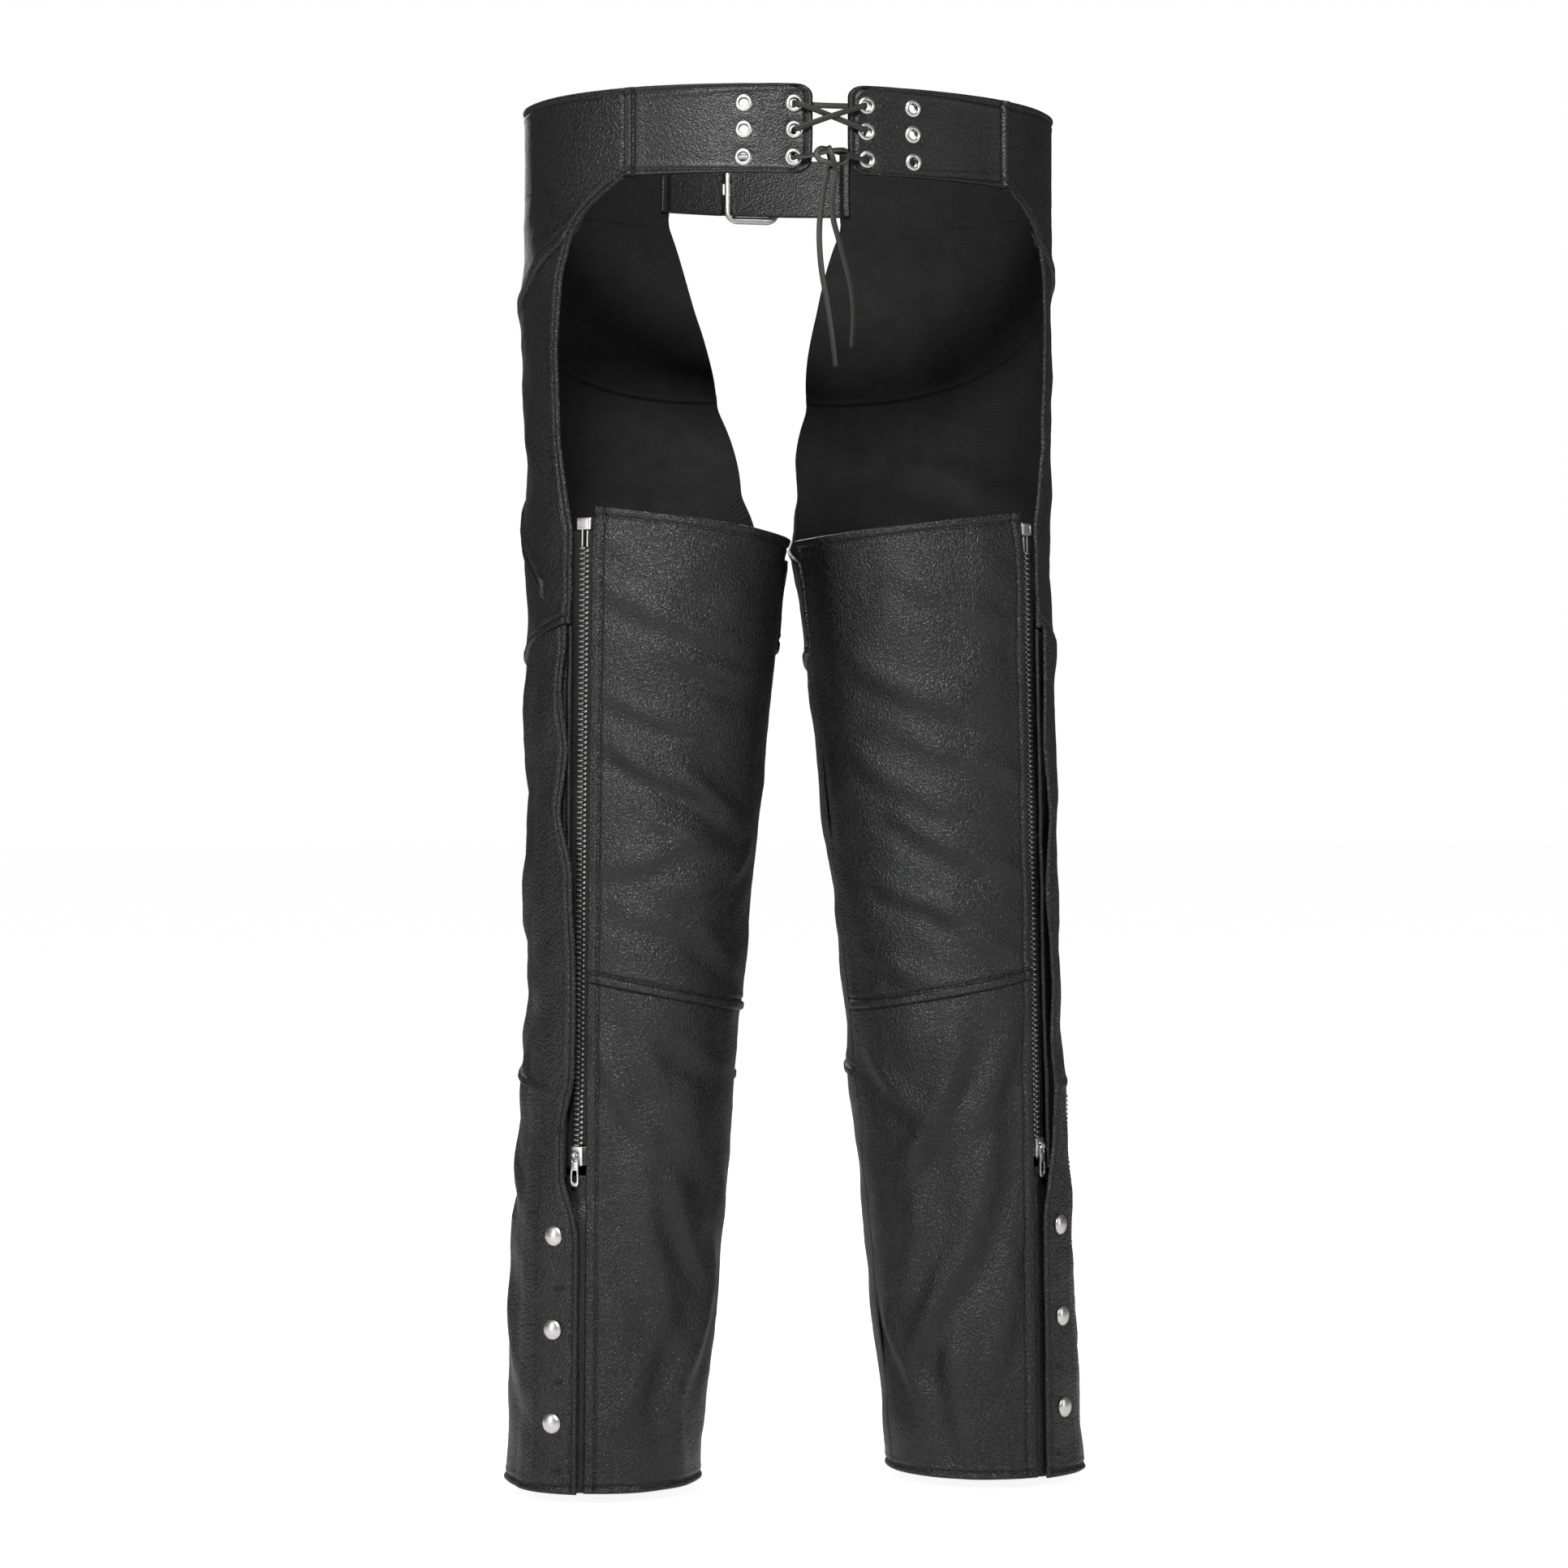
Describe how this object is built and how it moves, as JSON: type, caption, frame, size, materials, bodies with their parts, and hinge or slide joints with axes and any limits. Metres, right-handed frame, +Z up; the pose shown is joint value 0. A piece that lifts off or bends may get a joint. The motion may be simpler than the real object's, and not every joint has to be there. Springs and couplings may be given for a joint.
{
  "type": "leather riding chaps",
  "caption": "Black leather riding chaps with a laced back belt, open seat, zipped legs under storm flaps, snap plackets at the hems and a front buckle.",
  "frame": {"origin": "centre of the waist opening at half the height of the belt", "axes": "+Z up, the wearer faces -Y, +X is the wearer's left"},
  "size_m": [0.4392, 0.3139, 1.0215],
  "materials": {
    "leather": "pebbled grain, satin",
    "lace_leather": "smooth, matt",
    "zip_tape": "woven tape with metal teeth",
    "nickel": "bright nickel plate"
  },
  "bodies": {
    "root": {"hip_yoke_L": "leather", "thigh_front_L": "leather", "shin_front_L": "leather", "hem_front_L": "leather", "zip_facing_L": "leather", "back_belt_L": "leather", "front_strap_L": "leather", "zip_front_L": "zip_tape", "zip_box_L": "nickel", "eyelet_L_1": "nickel", "eyelet_L_2": "nickel", "eyelet_L_3": "nickel", "eyelet_L_4": "nickel", "eyelet_L_5": "nickel", "eyelet_L_6": "nickel", "lace_end_L": "lace_leather", "hip_yoke_R": "leather", "thigh_front_R": "leather", "shin_front_R": "leather", "hem_front_R": "leather", "zip_facing_R": "leather", "back_belt_R": "leather", "front_strap_R": "leather", "zip_front_R": "zip_tape", "zip_box_R": "nickel", "eyelet_R_1": "nickel", "eyelet_R_2": "nickel", "eyelet_R_3": "nickel", "eyelet_R_4": "nickel", "eyelet_R_5": "nickel", "eyelet_R_6": "nickel", "lace_end_R": "lace_leather", "lace": "lace_leather", "buckle_frame": "nickel", "pocket_welt": "leather"},
    "back_panel_L": {"back_upper_L": "leather", "back_lower_L": "leather", "zip_back_L": "zip_tape", "snap_stud_L_1": "nickel", "snap_stud_L_2": "nickel", "snap_stud_L_3": "nickel"},
    "flap_L": {"storm_flap_L": "leather", "snap_cap_L_1": "nickel", "snap_cap_L_2": "nickel", "snap_cap_L_3": "nickel"},
    "slider_L": {"zip_slider_L": "nickel"},
    "pull_L": {"zip_pull_L": "nickel"},
    "back_panel_R": {"back_upper_R": "leather", "back_lower_R": "leather", "zip_back_R": "zip_tape", "snap_stud_R_1": "nickel", "snap_stud_R_2": "nickel", "snap_stud_R_3": "nickel"},
    "flap_R": {"storm_flap_R": "leather", "snap_cap_R_1": "nickel", "snap_cap_R_2": "nickel", "snap_cap_R_3": "nickel"},
    "slider_R": {"zip_slider_R": "nickel"},
    "pull_R": {"zip_pull_R": "nickel"},
    "prong": {"buckle_prong": "nickel"}
  },
  "joints": [
    {"name": "leg_L_open", "type": "hinge", "parent": "root", "child": "back_panel_L", "pos_m": [0.0757, 0.03, -0.989], "axis": [-0.101, -0.0283, 0.9945], "range_deg": [0, 18]},
    {"name": "flap_L_turn", "type": "hinge", "parent": "root", "child": "flap_L", "pos_m": [0.1998, 0.0233, -0.352], "axis": [0.0274, 0.0336, -0.9991], "range_deg": [0, 108]},
    {"name": "slider_L_slide", "type": "slide", "parent": "root", "child": "slider_L", "axis": [-0.0139, -0.0213, 0.9997], "range_m": [0, 0.45]},
    {"name": "pull_L_swing", "type": "hinge", "parent": "slider_L", "child": "pull_L", "pos_m": [0.17611, 0.07891, -0.74281], "axis": [0.7271, -0.6865, -0.0045], "range_deg": [0, 150]},
    {"name": "leg_R_open", "type": "hinge", "parent": "root", "child": "back_panel_R", "pos_m": [-0.0757, 0.03, -0.989], "axis": [-0.101, 0.0283, -0.9945], "range_deg": [0, 18]},
    {"name": "flap_R_turn", "type": "hinge", "parent": "root", "child": "flap_R", "pos_m": [-0.1998, 0.0233, -0.352], "axis": [0.0274, -0.0336, 0.9991], "range_deg": [0, 108]},
    {"name": "slider_R_slide", "type": "slide", "parent": "root", "child": "slider_R", "axis": [0.0139, -0.0213, 0.9997], "range_m": [0, 0.45]},
    {"name": "pull_R_swing", "type": "hinge", "parent": "slider_R", "child": "pull_R", "pos_m": [-0.17611, 0.07891, -0.74281], "axis": [0.7271, 0.6865, 0.0045], "range_deg": [0, 150]},
    {"name": "prong_turn", "type": "hinge", "parent": "root", "child": "prong", "pos_m": [0.019, -0.1537, 0], "axis": [0, 0, 1], "range_deg": [0, 150]}
  ],
  "couplings": [
    {"joint": "flap_L_turn", "follows": "leg_L_open", "ratio": 6},
    {"joint": "flap_R_turn", "follows": "leg_R_open", "ratio": 6}
  ]
}
